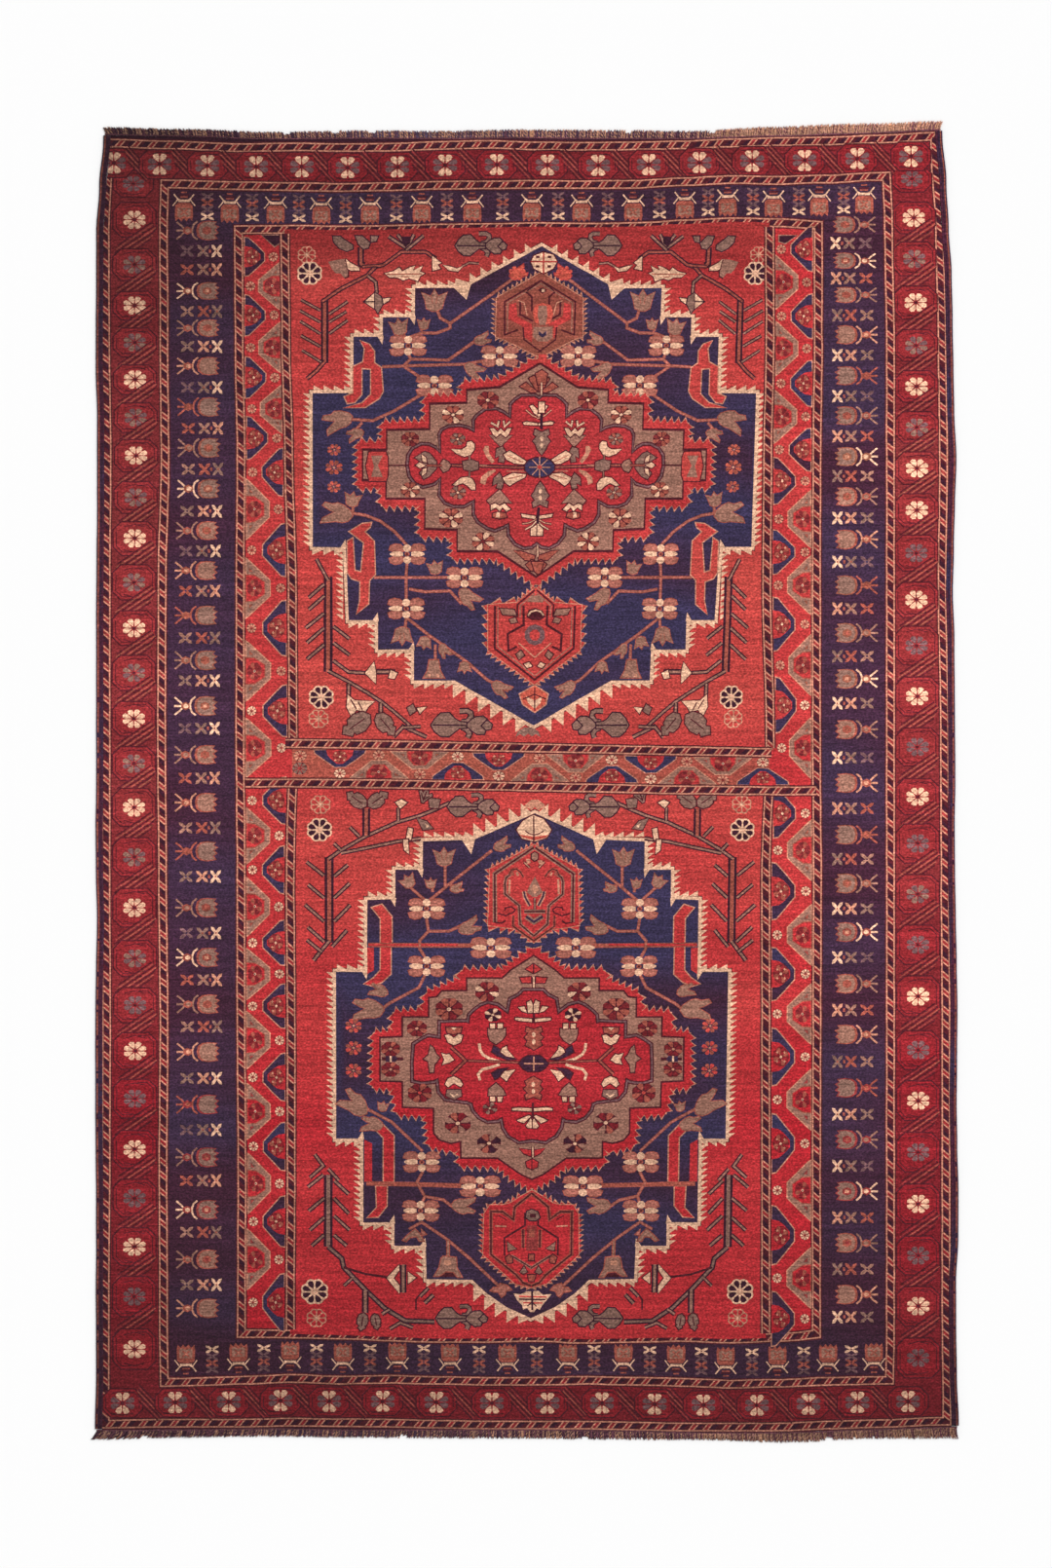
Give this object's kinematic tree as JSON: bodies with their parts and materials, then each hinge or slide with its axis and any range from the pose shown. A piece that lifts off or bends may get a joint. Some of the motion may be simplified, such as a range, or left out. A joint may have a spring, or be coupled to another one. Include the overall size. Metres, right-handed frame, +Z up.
{
  "type": "soumak kilim rug",
  "caption": "Flat-woven wool soumak rug with stepped medallions, tulip and rosette borders, overcast side cords and a short fringe at both ends.",
  "frame": {"origin": "on the floor, at the middle of the rug's footprint, fringe included", "axes": "+X across the rug, +Y along its length towards the picture's top end, which is nearer the shorter of the two medallions, +Z up out of its face"},
  "size_m": [2.0476, 3.1238, 0.0046],
  "materials": {
    "woven_wool": "matte hand-woven wool, madder red with navy, taupe and cream",
    "side_cord": "matte overcast wool cords, navy and wine",
    "fringe_wool": "matte twisted warp ends, tan and navy"
  },
  "bodies": {
    "root": {"kilim": "woven_wool", "selvedge_left": "side_cord", "selvedge_right": "side_cord", "fringe_top": "fringe_wool", "fringe_bottom": "fringe_wool"}
  },
  "joints": []
}
